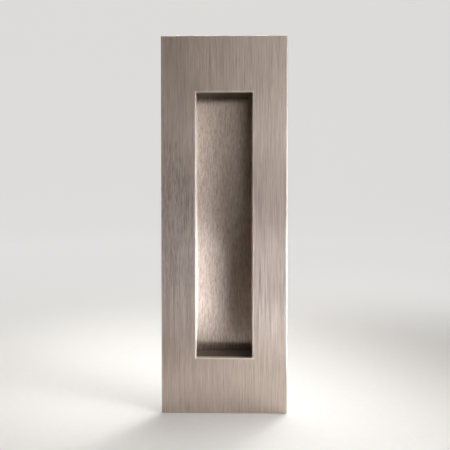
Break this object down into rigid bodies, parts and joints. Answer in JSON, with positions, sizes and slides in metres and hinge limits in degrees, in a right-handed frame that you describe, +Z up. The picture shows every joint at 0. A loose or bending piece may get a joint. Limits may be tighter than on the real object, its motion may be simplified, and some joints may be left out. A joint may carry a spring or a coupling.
{
  "type": "pocket door pull",
  "caption": "Rectangular flush pull: a brushed metal face plate with a long window and a box-shaped finger recess behind it, fixed by hidden threaded studs.",
  "frame": {"origin": "middle of the face plate, on the plane of its back, which lies on the door", "axes": "+Z up along the plate, +Y into the door along the fixing studs, the face looks along -Y, +X to the right as seen from the front"},
  "size_m": [0.06, 0.0152, 0.18],
  "materials": {
    "brushed_plate": "satin, brushed along the plate",
    "brushed_trough": "satin, brushed along the recess, less even",
    "end_plates": "satin, as cut from sheet",
    "weld_metal": "as welded",
    "stud_steel": "bright rolled thread"
  },
  "bodies": {
    "root": {"face_plate": "brushed_plate", "recess_trough": "brushed_trough", "top_end_plate": "end_plates", "bottom_end_plate": "end_plates", "side_welds": "weld_metal", "end_welds": "weld_metal", "upper_fixing_stud": "stud_steel", "lower_fixing_stud": "stud_steel"}
  },
  "joints": []
}
